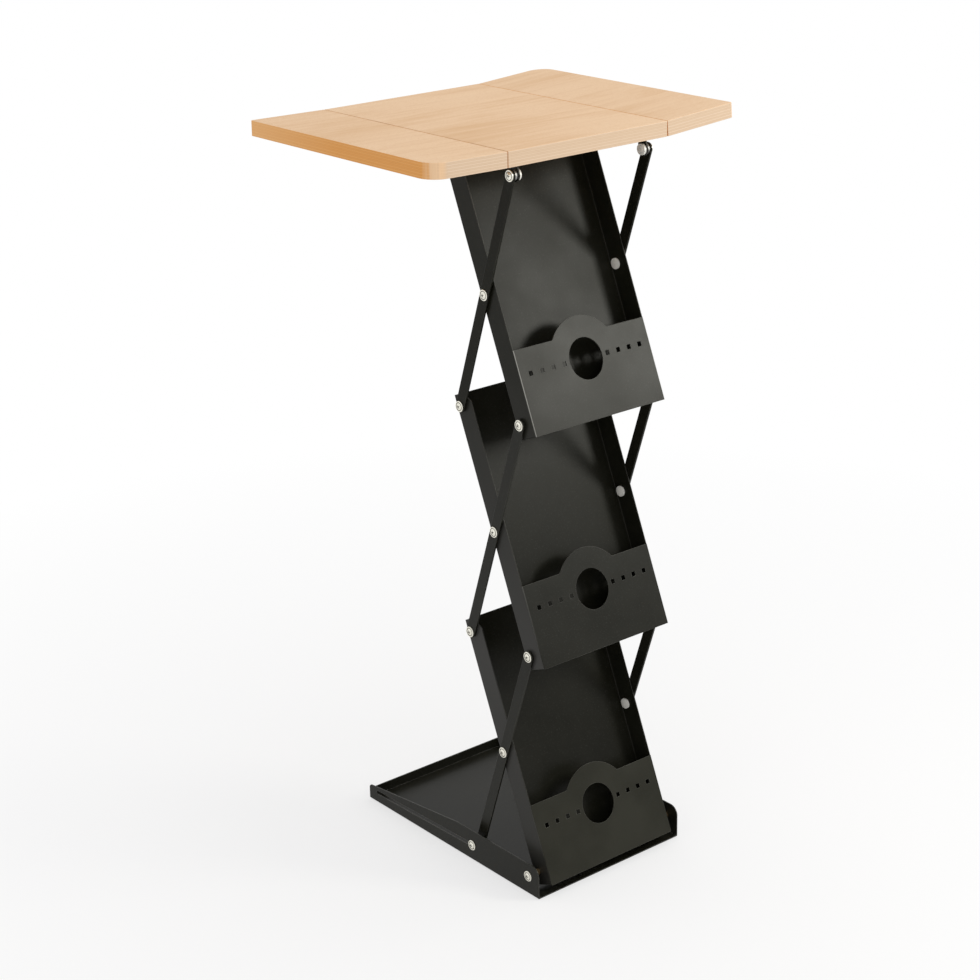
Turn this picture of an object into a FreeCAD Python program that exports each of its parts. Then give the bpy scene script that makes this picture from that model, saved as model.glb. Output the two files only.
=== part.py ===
import FreeCAD, Part
import math
import os

# Folding counter rack: three leaning pocket trays on crossed bars, between a base pan and a wooden
# counter in three leaves.
# Lengths are millimetres and angles are degrees.
# +X is the right hand side seen from the front, -Y is the front, +Z is up.
# The origin is on the floor, under the middle of the overall box of the opened rack.

# Linkage: each level crosses a tray with a pair of bars, pivoted at their ends and middles
level_count = 3
link_span = 350.0
open_angle = 69.3
slot_fall = 1.8
nest_gap = 1.0
hinge_height = 29.0

# Widths: the base lies under the centre panel of the counter, and the trays hang between its flanges
centre_width = 272.0
base_inset = 2.5
tray_room = 19.0
base_width = centre_width - 2 * base_inset
tray_width = base_width - 2 * tray_room

# Trays
tray_sheet = 1.2
tray_rear = 11.5
tray_front = 23.5
tray_below = 20.0
tray_above = 16.5
tray_bend = 2.0
tray_corner_cut = 14.0

# Pocket fronts
pocket_height = 115.5
pocket_hole_drop = 34.0
pocket_hole_radius = 28.5
pocket_arch_radius = 58.4
pocket_foot_radius = 4.0
pocket_return = 14.0
pocket_return_below = 8.0
pocket_edge_round = 1.0
square_side = 6.5
square_hole_gap = 9.5
square_wall_gap = 18.6
square_count = 4

# Flat bars
bar_width = 17.0
bar_thick = 3.0
bar_edge_round = 0.5

# Pivot hardware
screw_radius = 2.5
head_radius = 7.6
head_rim = 1.3
head_chamfer = 0.4
head_ring = 1.6
head_groove = 1.0
head_groove_depth = 0.7
head_dome = 1.3
recess_span = 5.0
recess_blade = 1.2
recess_depth = 1.6
nut_depth = 3.2
nut_dome = 0.8
nut_wall = 1.0
sleeve_radius = 6.0
bush_radius = 4.6
washer_radius = 7.0
washer_thick = 1.0
pivot_clearance = 0.08
open_pivot_clearance = 0.4
side_play = 0.2

# Base pan
base_sheet = 1.5
base_front = 22.0
base_depth = 393.0
flange_height = 47.0
flange_level = 179.0
flange_rear_height = 23.0
flange_front_round = 14.0
flange_rear_round = 6.0
rear_wall_height = 16.0
base_bend = 1.4
slot_overrun = 2.0
seat_drop = 0.8

# Feet
foot_radius = 7.0
foot_height = 1.5
foot_inset = 16.0

# Counter: its leaves stand a little above flat, where the hinges hold them
leaf_width = 120.0
counter_depth = 390.0
counter_thick = 21.0
counter_overhang = 18.0
counter_drop = 15.0
seam_gap = 0.7
left_leaf_rise = 1.0
right_leaf_rise = 4.0
leaf_corner = 26.0
leaf_square_corner = 3.0
panel_round = 1.0

# Barrel hinges in the seams
barrel_radius = 5.0
barrel_length = 13.0
barrel_depth = 6.5
barrel_fit = 0.05
barrel_slot = 2.4
barrel_slot_depth = 6.0
barrel_shares = (0.14, 0.5, 0.86)

# Front ears
ear_sheet = 2.0
ear_end_radius = 9.0
ear_neck_front = 4.0
ear_spacer_length = 4.5
ear_flange = 24.0
ear_screw_shares = (0.28, 0.74)
ear_nut_depth = 4.4

# Slide rails
rail_sheet = 2.0
rail_gap = 0.8
rail_flange = 15.0
rail_margin = 4.5
rail_end_margin = 10.0
rail_sleeve_radius = 5.0
rail_screw_shares = (0.08, 0.5, 0.92)

# Wood screws
wood_screw_radius = 1.6
wood_screw_head_radius = 3.6
wood_screw_head = 1.8
wood_screw_length = 11.0
wood_screw_fit = 0.05

# One overrun serves all cuts, and places closer than this hair are the same
over = 5.0
hair = 0.001

X_AXIS = FreeCAD.Vector(1, 0, 0)
Y_AXIS = FreeCAD.Vector(0, 1, 0)
Z_AXIS = FreeCAD.Vector(0, 0, 1)
ORIGIN = FreeCAD.Vector(0, 0, 0)


def sin(angle):
    return math.sin(math.radians(angle))


def cos(angle):
    return math.cos(math.radians(angle))


# Positions across the width, on the right hand side, from the tray wall outwards
wall_out = tray_width / 2
wall_in = wall_out - tray_sheet
bar_in = wall_out + washer_thick + side_play
bar_out = bar_in + bar_thick
head_in = bar_out + side_play
flange_out = base_width / 2
flange_in = flange_out - base_sheet
ear_out = bar_in - side_play - ear_spacer_length
ear_in = ear_out - ear_sheet
rail_in = bar_out + rail_gap
rail_out = rail_in + rail_sheet
seam = centre_width / 2

# Angles: trays and bars lean the opposite way about the line through the base hinge and slot
tray_angle = open_angle - slot_fall
bar_angle = open_angle + slot_fall
tray_depth = tray_rear + tray_front
folded_angle = math.degrees(math.asin(2 * (tray_depth + nest_gap) / link_span)) / 2
fold_range = open_angle - folded_angle
half_across = link_span / 2 * cos(open_angle)
half_up = link_span / 2 * sin(open_angle)
across_open = 2 * half_across
across_folded = link_span * cos(folded_angle)


def linkage_point(across, up):
    """A point in the side plane, from the base hinge along and square to the slot line."""
    y = across * cos(slot_fall) + up * sin(slot_fall)
    z = hinge_height - across * sin(slot_fall) + up * cos(slot_fall)
    return FreeCAD.Vector(0, y, z)


# Lower front corner of the lowest pocket and rear edge of the counter bound the rack front and rear
counter_hinge = linkage_point(0, 2 * level_count * half_up)
counter_front_y = counter_hinge.y - counter_overhang
counter_rear_y = counter_front_y + counter_depth
front_most = -tray_below * cos(tray_angle) - tray_front * sin(tray_angle)
origin_shift = -(front_most + counter_rear_y) / 2

counter_under = counter_hinge.z + counter_drop
counter_top = counter_under + counter_thick


def pivot(across_count, up_count):
    """A linkage pivot, counted in half spans, in the part's own frame."""
    point = linkage_point(across_count * half_across, up_count * half_up)
    return point + FreeCAD.Vector(0, origin_shift, 0)


base_hinge = pivot(0, 0)
slot_pin = pivot(2, 0)
ear_hinge = pivot(0, 2 * level_count)
slide_pin = pivot(2, 2 * level_count)
tray_foot = [pivot(0, 2 * level) for level in range(level_count)]
bar_foot = [pivot(2, 2 * level) for level in range(level_count)]

counter_front = counter_front_y + origin_shift
counter_rear = counter_rear_y + origin_shift
base_front_y = base_hinge.y - base_front
base_rear_y = base_front_y + base_depth
base_floor = foot_height + base_sheet


# Basic solids


def block(x0, x1, y0, y1, z0, z1):
    return Part.makeBox(x1 - x0, y1 - y0, z1 - z0, FreeCAD.Vector(x0, y0, z0))


def rod(radius, x0, x1, y=0.0, z=0.0):
    return Part.makeCylinder(radius, x1 - x0, FreeCAD.Vector(x0, y, z), X_AXIS)


def ring(outer, inner, x0, x1, y=0.0, z=0.0):
    cut = rod(inner, x0 - over, x1 + over, y, z)
    return rod(outer, x0, x1, y, z).cut(cut)


def mirrored(shape):
    return shape.mirror(ORIGIN, X_AXIS)


def pair(shape):
    """The right hand piece and its mirror image on the left."""
    return [shape, mirrored(shape)]


def lean(shape, angle, point):
    """Stand a piece that was drawn upright at its lower pivot onto its place in the linkage."""
    placed = shape.copy()
    placed.rotate(ORIGIN, X_AXIS, angle)
    placed.translate(point)
    return placed


def lean_tray(shape, level):
    return lean(shape, tray_angle - 90, tray_foot[level])


def lean_bar(shape, level):
    return lean(shape, 90 - bar_angle, bar_foot[level])


def shift(shape, point):
    placed = shape.copy()
    placed.translate(point)
    return placed


def raised(shape, side, rise):
    """A piece of a leaf, turned up about the top of its seam. The side is 1 on the right, -1 on the left."""
    placed = shape.copy()
    placed.rotate(FreeCAD.Vector(side * seam, 0, counter_top + seam_gap / 2), Y_AXIS, -side * rise)
    return placed


def prism(points, x0, x1):
    """A plate between two planes across the width, from its outline in the side plane."""
    corners = [FreeCAD.Vector(x0, y, z) for y, z in points]
    face = Part.Face(Part.makePolygon(corners + corners[:1]))
    return face.extrude(FreeCAD.Vector(x1 - x0, 0, 0))


def edges_at(shape, test):
    return [edge for edge in shape.Edges if test(edge.BoundBox)]


def near(value, target):
    return abs(value - target) < hair


# Hardware, drawn on the X axis on the right hand side


def dome_arc(x_rim, radius, x_top):
    """The curve of a low dome in the XY plane, from its rim to its top on the X axis."""
    rise = x_top - x_rim
    ball_radius = (radius ** 2 + rise ** 2) / (2 * abs(rise))
    outwards = math.copysign(1, rise)
    ball_centre = x_top - outwards * ball_radius
    half_turn = math.asin(radius / ball_radius) / 2
    middle = FreeCAD.Vector(ball_centre + outwards * ball_radius * math.cos(half_turn),
                            ball_radius * math.sin(half_turn), 0)
    return Part.Arc(FreeCAD.Vector(x_rim, radius, 0), middle, FreeCAD.Vector(x_top, 0, 0)).toShape()


def turned(points, dome):
    """A solid turned about the X axis: straight runs from the axis to a dome that ends on it."""
    path = [FreeCAD.Vector(x, radius, 0) for x, radius in points]
    edges = [Part.makeLine(first, second) for first, second in zip(path, path[1:])]
    closing = Part.makeLine(dome.Vertexes[-1].Point, path[0])
    face = Part.Face(Part.Wire(edges + [dome, closing]))
    return face.revolve(ORIGIN, X_AXIS, 360)


def ringed_head(x_seat):
    """A wide screw head: a raised outer ring, a groove and a domed button in the middle."""
    x_rim = x_seat + head_rim
    x_groove = x_rim - head_groove_depth
    ring_in = head_radius - head_ring
    button = ring_in - head_groove
    points = [
        (x_seat, 0),
        (x_seat, head_radius),
        (x_rim - head_chamfer, head_radius),
        (x_rim, head_radius - head_chamfer),
        (x_rim, ring_in),
        (x_groove, ring_in),
        (x_groove, button),
        (x_rim, button),
    ]
    return turned(points, dome_arc(x_rim, button, x_rim + head_dome))


def pivot_screw(x_seat, x_end, radius=screw_radius):
    """A screw whose head seats at x_seat, with its plain shank running inwards to x_end."""
    head = ringed_head(x_seat)
    x_face = x_seat + head_rim + head_dome
    half = recess_span / 2
    blade = recess_blade / 2
    upright = block(x_face - recess_depth, x_face + over, -blade, blade, -half, half)
    level = block(x_face - recess_depth, x_face + over, -half, half, -blade, blade)
    shank = rod(radius, x_end, x_seat)
    return head.cut(upright.fuse(level)).fuse(shank)


def cap_nut(x_seat, depth=nut_depth):
    """A blind nut with a low dome, seated at x_seat and facing the middle of the rack."""
    x_rim = x_seat - depth + nut_dome
    points = [(x_seat, 0), (x_seat, head_radius), (x_rim, head_radius)]
    nut = turned(points, dome_arc(x_rim, head_radius, x_seat - depth))
    bore = rod(screw_radius + pivot_clearance, x_seat - depth + nut_wall, x_seat + over)
    return nut.cut(bore)


def shank_end(nut_seat, depth=nut_depth):
    """Where a shank stops inside its cap nut."""
    return nut_seat - depth + nut_wall + side_play


# Base


def flange_slot():
    """The slot along the hinge line, with a shallow seat under the pin of the opened rack."""
    half_width = screw_radius + open_pivot_clearance
    first = linkage_point(across_open - slot_overrun, 0)
    last = linkage_point(across_folded + slot_overrun, 0)
    length = last.sub(first).Length
    x0 = flange_in - over
    x1 = flange_out + over
    bar = block(x0, x1, 0, length, -half_width, half_width)
    bar = bar.fuse(rod(half_width, x0, x1)).fuse(rod(half_width, x0, x1, length))
    bar.rotate(ORIGIN, X_AXIS, -slot_fall)
    bar.translate(first + FreeCAD.Vector(0, origin_shift, 0))
    seat = rod(half_width, x0, x1, slot_pin.y, slot_pin.z - seat_drop)
    return bar.fuse(seat)


def flange():
    low = foot_height
    level_y = base_front_y + flange_level
    points = [
        (base_front_y, low),
        (base_front_y, low + flange_height),
        (level_y, low + flange_height),
        (base_rear_y, low + flange_rear_height),
        (base_rear_y, low),
    ]
    plate = prism(points, flange_in, flange_out)
    front_top = edges_at(plate, lambda b: near(b.YMax, base_front_y) and near(b.ZMin, low + flange_height))
    plate = plate.makeFillet(flange_front_round, front_top)
    rear_z = low + flange_rear_height
    rear_top = edges_at(plate, lambda b: near(b.YMin, base_rear_y) and near(b.ZMin, rear_z))
    plate = plate.makeFillet(flange_rear_round, rear_top)
    hinge_hole = rod(screw_radius + pivot_clearance, flange_in - over, flange_out + over,
                     base_hinge.y, base_hinge.z)
    return plate.cut(hinge_hole).cut(flange_slot())


def base_pan():
    floor = block(-flange_out, flange_out, base_front_y, base_rear_y, foot_height, base_floor)
    rear_wall = block(-flange_out, flange_out, base_rear_y - base_sheet, base_rear_y,
                      foot_height, foot_height + rear_wall_height)
    side = flange()
    pan = floor.fuse([rear_wall, side, mirrored(side)]).removeSplitter()
    bends = edges_at(pan, lambda b: near(b.ZMax, foot_height) and near(abs(b.XMin), flange_out)
                     and near(b.XMin, b.XMax))
    return [pan.makeFillet(base_bend, bends)]


def base_feet():
    feet = []
    for x in (-flange_out + foot_inset, flange_out - foot_inset):
        for y in (base_front_y + foot_inset, base_rear_y - foot_inset):
            foot = Part.makeCylinder(foot_radius, foot_height, FreeCAD.Vector(x, y, 0), Z_AXIS)
            feet.append(foot)
    return feet


def base_hinge_screws():
    nut_seat = wall_in - side_play
    screw = pivot_screw(flange_out, shank_end(nut_seat))
    return pair(shift(screw, base_hinge))


def base_hinge_bushes():
    bush = ring(bush_radius, screw_radius + pivot_clearance, wall_out + side_play, flange_in)
    return pair(shift(bush, base_hinge))


def base_hinge_nuts():
    return pair(shift(cap_nut(wall_in - side_play), base_hinge))


# Trays, drawn upright with the lower pivot at the origin and the front facing -Y


def tray_shell():
    top = link_span + tray_above
    front = -tray_front + tray_sheet
    outer = block(-wall_out, wall_out, front, tray_rear, -tray_below, top)
    back_edges = edges_at(outer, lambda b: near(b.YMin, tray_rear) and near(abs(b.XMin), wall_out)
                          and near(b.XMin, b.XMax))
    bottom_edges = edges_at(outer, lambda b: near(b.ZMax, -tray_below) and not near(b.YMax, front))
    outer = outer.makeFillet(tray_bend, back_edges + bottom_edges)
    inner = block(-wall_in, wall_in, front - over, tray_rear - tray_sheet,
                  -tray_below + tray_sheet, top + over)
    inner_edges = edges_at(inner, lambda b: near(b.YMin, tray_rear - tray_sheet)
                           and near(abs(b.XMin), wall_in) and near(b.XMin, b.XMax))
    floor_edges = edges_at(inner, lambda b: near(b.ZMax, -tray_below + tray_sheet)
                           and not near(b.YMax, front - over))
    inner = inner.makeFillet(tray_bend - tray_sheet, inner_edges + floor_edges)
    corner = prism([(front - over, top + over),
                    (front - over, top - tray_corner_cut - over),
                    (front + tray_corner_cut + over, top + over)],
                   -wall_out - over, wall_out + over)
    shell = outer.cut(inner).cut(corner)
    for height in (0, link_span / 2, link_span):
        shell = shell.cut(rod(screw_radius + pivot_clearance, -wall_out - over, wall_out + over, 0, height))
    return shell


def pocket_outline():
    """The pocket front's face: a straight top edge that rises over the finger hole in an arch."""
    y = -tray_front
    low = -tray_below
    edge_z = low + pocket_height
    hole_z = edge_z - pocket_hole_drop
    # The small foot arc touches the top edge and the arch: its centre is one radius above the edge
    reach = pocket_arch_radius + pocket_foot_radius
    rise = pocket_hole_drop + pocket_foot_radius
    foot_x = math.sqrt(reach ** 2 - rise ** 2)
    touch = pocket_arch_radius / reach
    touch_x = foot_x * touch
    touch_z = hole_z + rise * touch
    blend = math.atan2(foot_x, rise) / 2
    middle_x = foot_x - pocket_foot_radius * math.sin(blend)
    middle_z = edge_z + pocket_foot_radius * (1 - math.cos(blend))

    def at(x, z):
        return FreeCAD.Vector(x, y, z)

    edges = [
        Part.makeLine(at(-wall_out, low), at(-wall_out, edge_z)),
        Part.makeLine(at(-wall_out, edge_z), at(-foot_x, edge_z)),
        Part.Arc(at(-foot_x, edge_z), at(-middle_x, middle_z), at(-touch_x, touch_z)).toShape(),
        Part.Arc(at(-touch_x, touch_z), at(0, hole_z + pocket_arch_radius), at(touch_x, touch_z)).toShape(),
        Part.Arc(at(touch_x, touch_z), at(middle_x, middle_z), at(foot_x, edge_z)).toShape(),
        Part.makeLine(at(foot_x, edge_z), at(wall_out, edge_z)),
        Part.makeLine(at(wall_out, edge_z), at(wall_out, low)),
        Part.makeLine(at(wall_out, low), at(-wall_out, low)),
    ]
    return Part.Face(Part.Wire(edges))


def pocket_front():
    plate = pocket_outline().extrude(FreeCAD.Vector(0, tray_sheet, 0))
    edge_z = -tray_below + pocket_height
    bends = edges_at(plate, lambda b: near(b.YMax, -tray_front) and near(abs(b.XMin), wall_out)
                     and near(b.XMin, b.XMax))
    plate = plate.makeFillet(pocket_edge_round, bends)
    y0 = -tray_front + tray_sheet
    y1 = y0 + pocket_return
    low = -tray_below + tray_bend + side_play
    strip = block(wall_in - side_play - tray_sheet, wall_in - side_play, y0, y1,
                  low, edge_z - pocket_return_below)
    plate = plate.fuse([strip, mirrored(strip)])
    hole_z = edge_z - pocket_hole_drop
    start = FreeCAD.Vector(0, -tray_front - over, hole_z)
    plate = plate.cut(Part.makeCylinder(pocket_hole_radius, tray_sheet + 2 * over, start, Y_AXIS))
    half = square_side / 2
    square_first = pocket_hole_radius + square_hole_gap
    square_last = wall_out - square_wall_gap
    for step in range(square_count):
        x = square_first + (square_last - square_first) * step / (square_count - 1)
        hole = block(x - half, x + half, -tray_front - over, y0 + over, hole_z - half, hole_z + half)
        plate = plate.cut(hole).cut(mirrored(hole))
    notch = rod(head_radius + side_play, wall_in - nut_depth - over, wall_out)
    return plate.cut(notch).cut(mirrored(notch))


def tray_pivots(level):
    """Heights of the pivots whose hardware a tray carries, up the tray from its lower pivot."""
    lowest = [] if level == 0 else [0]
    highest = [] if level == level_count - 1 else [link_span]
    return lowest + [link_span / 2] + highest


def tray_hardware(level, piece):
    placed = []
    for height in tray_pivots(level):
        for side in pair(shift(piece, FreeCAD.Vector(0, 0, height))):
            placed.append(lean_tray(side, level))
    return placed


def tray_screws(level):
    return tray_hardware(level, pivot_screw(head_in, shank_end(wall_in)))


def tray_nuts(level):
    return tray_hardware(level, cap_nut(wall_in))


def tray_washers(level):
    hole = screw_radius + pivot_clearance
    return tray_hardware(level, ring(washer_radius, hole, wall_out, wall_out + washer_thick))


# Slide pins at the head of the highest tray


def slide_place(piece):
    placed = []
    for side in pair(shift(piece, FreeCAD.Vector(0, 0, link_span))):
        placed.append(lean_tray(side, level_count - 1))
    return placed


def slide_pins():
    return slide_place(pivot_screw(rail_out + side_play, shank_end(wall_in)))


def slide_sleeves():
    hole = screw_radius + pivot_clearance
    return slide_place(ring(rail_sleeve_radius, hole, wall_out, rail_in - side_play))


def slide_nuts():
    return slide_place(cap_nut(wall_in))


# Bars, drawn upright with the lower pivot at the origin


def bar(open_foot):
    """A flat bar with round ends. The lower hole is wider where it closes a loop of the linkage."""
    half = bar_width / 2
    x = bar_in

    def at(y, z):
        return FreeCAD.Vector(x, y, z)

    outline = Part.Wire([
        Part.makeLine(at(-half, 0), at(-half, link_span)),
        Part.Arc(at(-half, link_span), at(0, link_span + half), at(half, link_span)).toShape(),
        Part.makeLine(at(half, link_span), at(half, 0)),
        Part.Arc(at(half, 0), at(0, -half), at(-half, 0)).toShape(),
    ])
    plate = Part.Face(outline).extrude(FreeCAD.Vector(bar_thick, 0, 0))
    rims = edges_at(plate, lambda b: near(b.XMin, b.XMax))
    plate = plate.makeFillet(bar_edge_round, rims)
    foot_clearance = open_pivot_clearance if open_foot else pivot_clearance
    for height, clearance in ((0, foot_clearance),
                              (link_span / 2, pivot_clearance),
                              (link_span, pivot_clearance)):
        plate = plate.cut(rod(screw_radius + clearance, x - over, x + bar_thick + over, 0, height))
    return plate


def right_bar(level):
    return [lean_bar(bar(level > 0), level)]


def left_bar(level):
    return [mirrored(lean_bar(bar(level > 0), level))]


def slot_pins():
    return pair(shift(pivot_screw(flange_out + side_play, shank_end(bar_in)), slot_pin))


def slot_spacers():
    hole = screw_radius + pivot_clearance
    return pair(shift(ring(sleeve_radius, hole, bar_out, flange_in - side_play), slot_pin))


def slot_nuts():
    return pair(shift(cap_nut(bar_in), slot_pin))


# Counter


def barrel_places():
    return [counter_front + share * counter_depth for share in barrel_shares]


def barrel_height():
    return counter_top - barrel_depth


def counter_screws():
    """Places of the wood screws on the right hand side: x, y and the sheet under each head."""
    places = []
    ear_middle = ear_hinge.y + (ear_end_radius - ear_neck_front) / 2
    for share in ear_screw_shares:
        places.append((ear_out - share * ear_flange, ear_middle, ear_sheet))
    for share in rail_screw_shares:
        y = rail_front() + share * (rail_rear() - rail_front())
        places.append((rail_out + (rail_flange - rail_sheet) / 2, y, rail_sheet))
    return places


def centre_panel():
    edge = seam - seam_gap / 2
    panel = block(-edge, edge, counter_front, counter_rear, counter_under, counter_top)
    panel = panel.makeFillet(panel_round, edges_at(panel, lambda b: near(b.ZMin, b.ZMax)))
    for y in barrel_places():
        bore = rod(barrel_radius, edge - barrel_length, edge + over, y, barrel_height())
        panel = panel.cut(bore).cut(turned_round(bore))
    for x, y, sheet in counter_screws():
        deep = wood_screw_length - sheet
        for side in (-x, x):
            start = FreeCAD.Vector(side, y, counter_under - over)
            panel = panel.cut(Part.makeCylinder(wood_screw_radius + wood_screw_fit,
                                                deep + over + side_play, start, Z_AXIS))
    return [panel]


def leaf():
    """The right hand leaf, whose rear outer corner is round and whose front one is nearly square."""
    inner = seam + seam_gap / 2
    outer = seam + leaf_width
    panel = block(inner, outer, counter_front, counter_rear, counter_under, counter_top)
    for corner_y, radius in ((counter_rear, leaf_corner), (counter_front, leaf_square_corner)):
        corner = edges_at(panel, lambda b: near(b.XMin, outer) and near(b.XMax, outer)
                          and near(b.YMin, corner_y) and near(b.YMax, corner_y))
        panel = panel.makeFillet(radius, corner)
    panel = panel.makeFillet(panel_round, edges_at(panel, lambda b: near(b.ZMin, b.ZMax)))
    for y in barrel_places():
        panel = panel.cut(rod(barrel_radius, inner - over, inner + barrel_length, y, barrel_height()))
    return panel


def turned_round(shape):
    """The same piece turned end for end about the middle of the counter."""
    placed = shape.copy()
    placed.rotate(FreeCAD.Vector(0, (counter_front + counter_rear) / 2, 0), Z_AXIS, 180)
    return placed


def right_leaf():
    return [raised(leaf(), 1, right_leaf_rise)]


def left_leaf():
    return [raised(turned_round(leaf()), -1, left_leaf_rise)]


def barrel(x0, x1, mouth):
    """One barrel with its slotted mouth, where the folded links of the hinge lie."""
    body = rod(barrel_radius - barrel_fit, x0, x1)
    half = barrel_slot / 2
    high = barrel_radius + over
    slot = block(mouth - barrel_slot_depth, mouth + barrel_slot_depth, -half, half, -high, high)
    return body.cut(slot)


def leaf_barrels():
    inner = seam + seam_gap / 2
    piece = barrel(inner, inner + barrel_length - barrel_fit, inner)
    return [shift(piece, FreeCAD.Vector(0, y, barrel_height())) for y in barrel_places()]


def right_leaf_barrels():
    return [raised(piece, 1, right_leaf_rise) for piece in leaf_barrels()]


def left_leaf_barrels():
    return [raised(turned_round(piece), -1, left_leaf_rise) for piece in leaf_barrels()]


def centre_barrels():
    edge = seam - seam_gap / 2
    piece = barrel(edge - barrel_length + barrel_fit, edge, edge)
    placed = []
    for y in barrel_places():
        right = shift(piece, FreeCAD.Vector(0, y, barrel_height()))
        placed += [right, turned_round(right)]
    return placed


# Brackets under the counter


def wood_screw(x, y, sheet):
    head_z = counter_under - sheet
    start = FreeCAD.Vector(x, y, head_z - wood_screw_head)
    head = Part.makeCylinder(wood_screw_head_radius, wood_screw_head, start, Z_AXIS)
    rim = edges_at(head, lambda b: near(b.ZMax, head_z - wood_screw_head))
    head = head.makeFillet(wood_screw_head / 2, rim)
    shank = Part.makeCylinder(wood_screw_radius, wood_screw_length, FreeCAD.Vector(x, y, head_z), Z_AXIS)
    return head.fuse(shank)


def wood_screws():
    placed = []
    for x, y, sheet in counter_screws():
        placed += pair(wood_screw(x, y, sheet))
    return placed


def screw_hole(x, y):
    start = FreeCAD.Vector(x, y, counter_under - over)
    return Part.makeCylinder(wood_screw_radius + wood_screw_fit, 2 * over, start, Z_AXIS)


def ear():
    """A bent tab under the counter's front edge, with a round end that carries the highest bar."""
    y = ear_hinge.y
    z = ear_hinge.z
    top = counter_under
    front = y - ear_neck_front
    rear = y + ear_end_radius
    # The front edge leans forward from the counter until it touches the round end
    away = math.hypot(ear_neck_front, top - z)
    touch = math.atan2(top - z, -ear_neck_front) + math.acos(ear_end_radius / away)
    touch_point = (y + ear_end_radius * math.cos(touch), z + ear_end_radius * math.sin(touch))
    tab = prism([(front, top), touch_point, (y, z), (rear, z), (rear, top)], ear_in, ear_out)
    tab = tab.fuse(rod(ear_end_radius, ear_in, ear_out, y, z))
    flat = block(ear_out - ear_flange, ear_out, front, rear, top - ear_sheet, top)
    bracket = tab.fuse(flat).removeSplitter()
    bracket = bracket.cut(rod(screw_radius + pivot_clearance, ear_in - over, ear_out + over, y, z))
    for share in ear_screw_shares:
        bracket = bracket.cut(screw_hole(ear_out - share * ear_flange, (front + rear) / 2))
    return bracket


def right_ear():
    return [ear()]


def left_ear():
    return [mirrored(ear())]


def ear_screws():
    return pair(shift(pivot_screw(head_in, shank_end(ear_in, ear_nut_depth)), ear_hinge))


def ear_spacers():
    hole = screw_radius + pivot_clearance
    return pair(shift(ring(washer_radius, hole, ear_out, ear_out + ear_spacer_length), ear_hinge))


def ear_nuts():
    return pair(shift(cap_nut(ear_in, ear_nut_depth), ear_hinge))


def rail_end():
    """From the centre of a slot's round end to the end of the rail."""
    return screw_radius + open_pivot_clearance + rail_end_margin


def rail_front():
    return slide_pin.y - slot_overrun * cos(slot_fall) - rail_end()


def rail_rear():
    return ear_hinge.y + (across_folded + slot_overrun) * cos(slot_fall) + rail_end()


def rail():
    """An angle under the counter whose slot guides the head of the highest tray."""
    half_width = screw_radius + open_pivot_clearance
    drop = half_width + rail_margin
    slope = sin(slot_fall) / cos(slot_fall)

    def lower(y):
        return ear_hinge.z - (y - ear_hinge.y) * slope - drop

    front = rail_front()
    rear = rail_rear()
    points = [
        (front, counter_under),
        (front, lower(front)),
        (rear, lower(rear)),
        (rear, counter_under),
    ]
    web = prism(points, rail_in, rail_out)
    lower_corners = edges_at(web, lambda b: near(b.YMin, b.YMax) and near(b.ZMin, b.ZMax)
                             and not near(b.ZMax, counter_under))
    web = web.makeFillet(rail_margin, lower_corners)
    flat = block(rail_in, rail_in + rail_flange, front, rear, counter_under - rail_sheet, counter_under)
    first = across_open - slot_overrun
    last = across_folded + slot_overrun
    x0 = rail_in - over
    x1 = rail_out + over
    slot = block(x0, x1, first, last, -half_width, half_width)
    slot = slot.fuse(rod(half_width, x0, x1, first)).fuse(rod(half_width, x0, x1, last))
    slot.rotate(ORIGIN, X_AXIS, -slot_fall)
    slot.translate(ear_hinge)
    piece = web.fuse(flat).removeSplitter().cut(slot)
    for x, y, sheet in counter_screws():
        if x > rail_out:
            piece = piece.cut(screw_hole(x, y))
    return piece


def right_rail():
    return [rail()]


def left_rail():
    return [mirrored(rail())]


def save(name, solids):
    """Write one sub-part, with each of its separate pieces as a solid of its own."""
    pieces = []
    for shape in solids:
        pieces += shape.Solids
    Part.makeCompound(pieces).exportStep("parts/" + name + ".step")
    volume = sum(piece.Volume for piece in pieces)
    valid = all(piece.isValid() for piece in pieces)
    print(name, len(pieces), "solids", round(volume), "mm3", "valid" if valid else "INVALID")


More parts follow.
